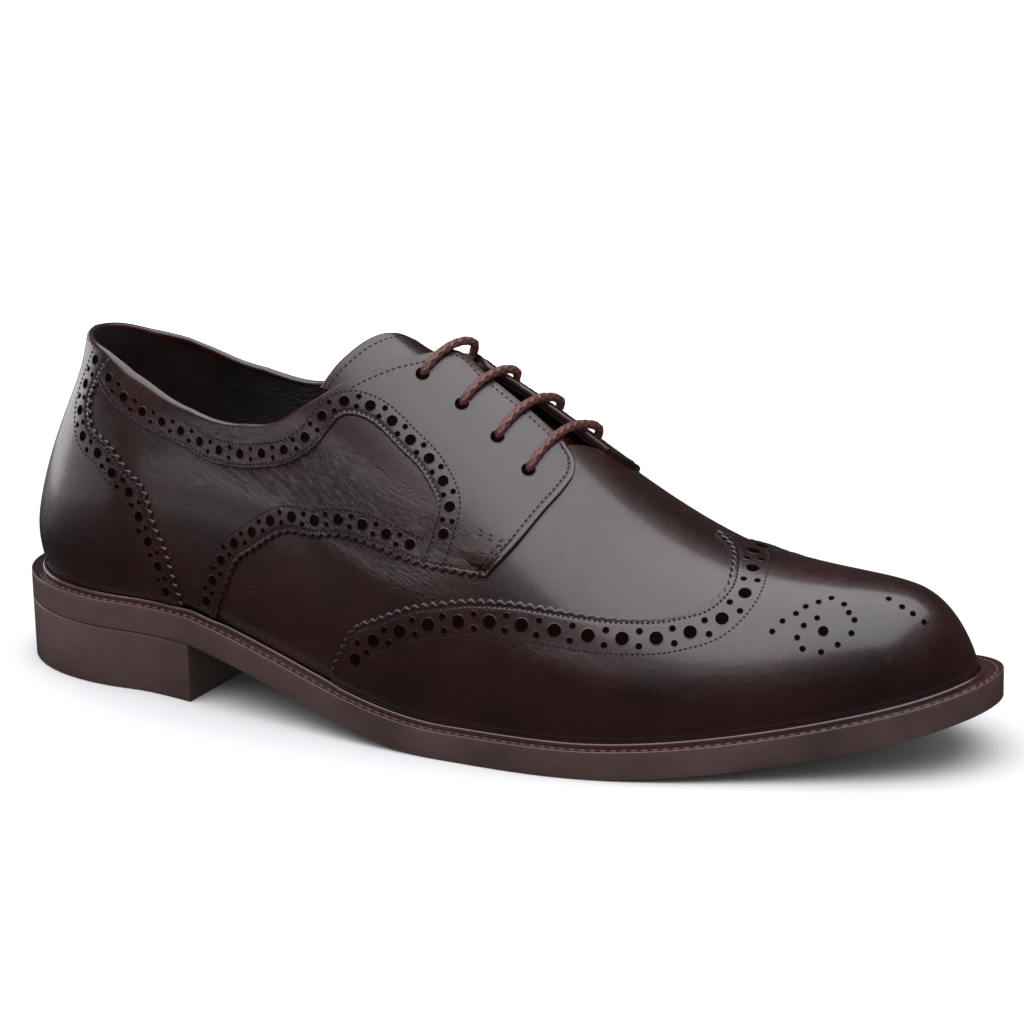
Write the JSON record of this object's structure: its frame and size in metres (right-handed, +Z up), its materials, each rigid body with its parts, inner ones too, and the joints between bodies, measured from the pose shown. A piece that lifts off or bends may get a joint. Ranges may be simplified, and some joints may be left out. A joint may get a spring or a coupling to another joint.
{
  "type": "brogue shoe",
  "caption": "Right wing-tip derby shoe in polished dark leather, hollow and empty, with welted sole, stacked heel, tongue and straight bar lacing.",
  "frame": {"origin": "middle of the shoe's length and width, on the plane that it stands on", "axes": "+X towards the toe, +Y towards the medial side, +Z up"},
  "size_m": [0.305, 0.1072, 0.1129],
  "materials": {
    "leather": "polished, very dark oxblood brown",
    "lining": "matt dark brown",
    "sole": "satin brown",
    "lace": "waxed round braid, reddish brown"
  },
  "bodies": {
    "root": {"outsole": "sole", "heel": "sole", "welt": "sole", "insole": "lining", "upper": "leather", "quarter_lateral": "leather", "quarter_medial": "leather", "counter": "leather", "wing": "leather", "tongue": "leather", "lace_1": "lace", "lace_2": "lace", "lace_3": "lace", "lace_4": "lace"}
  },
  "joints": []
}
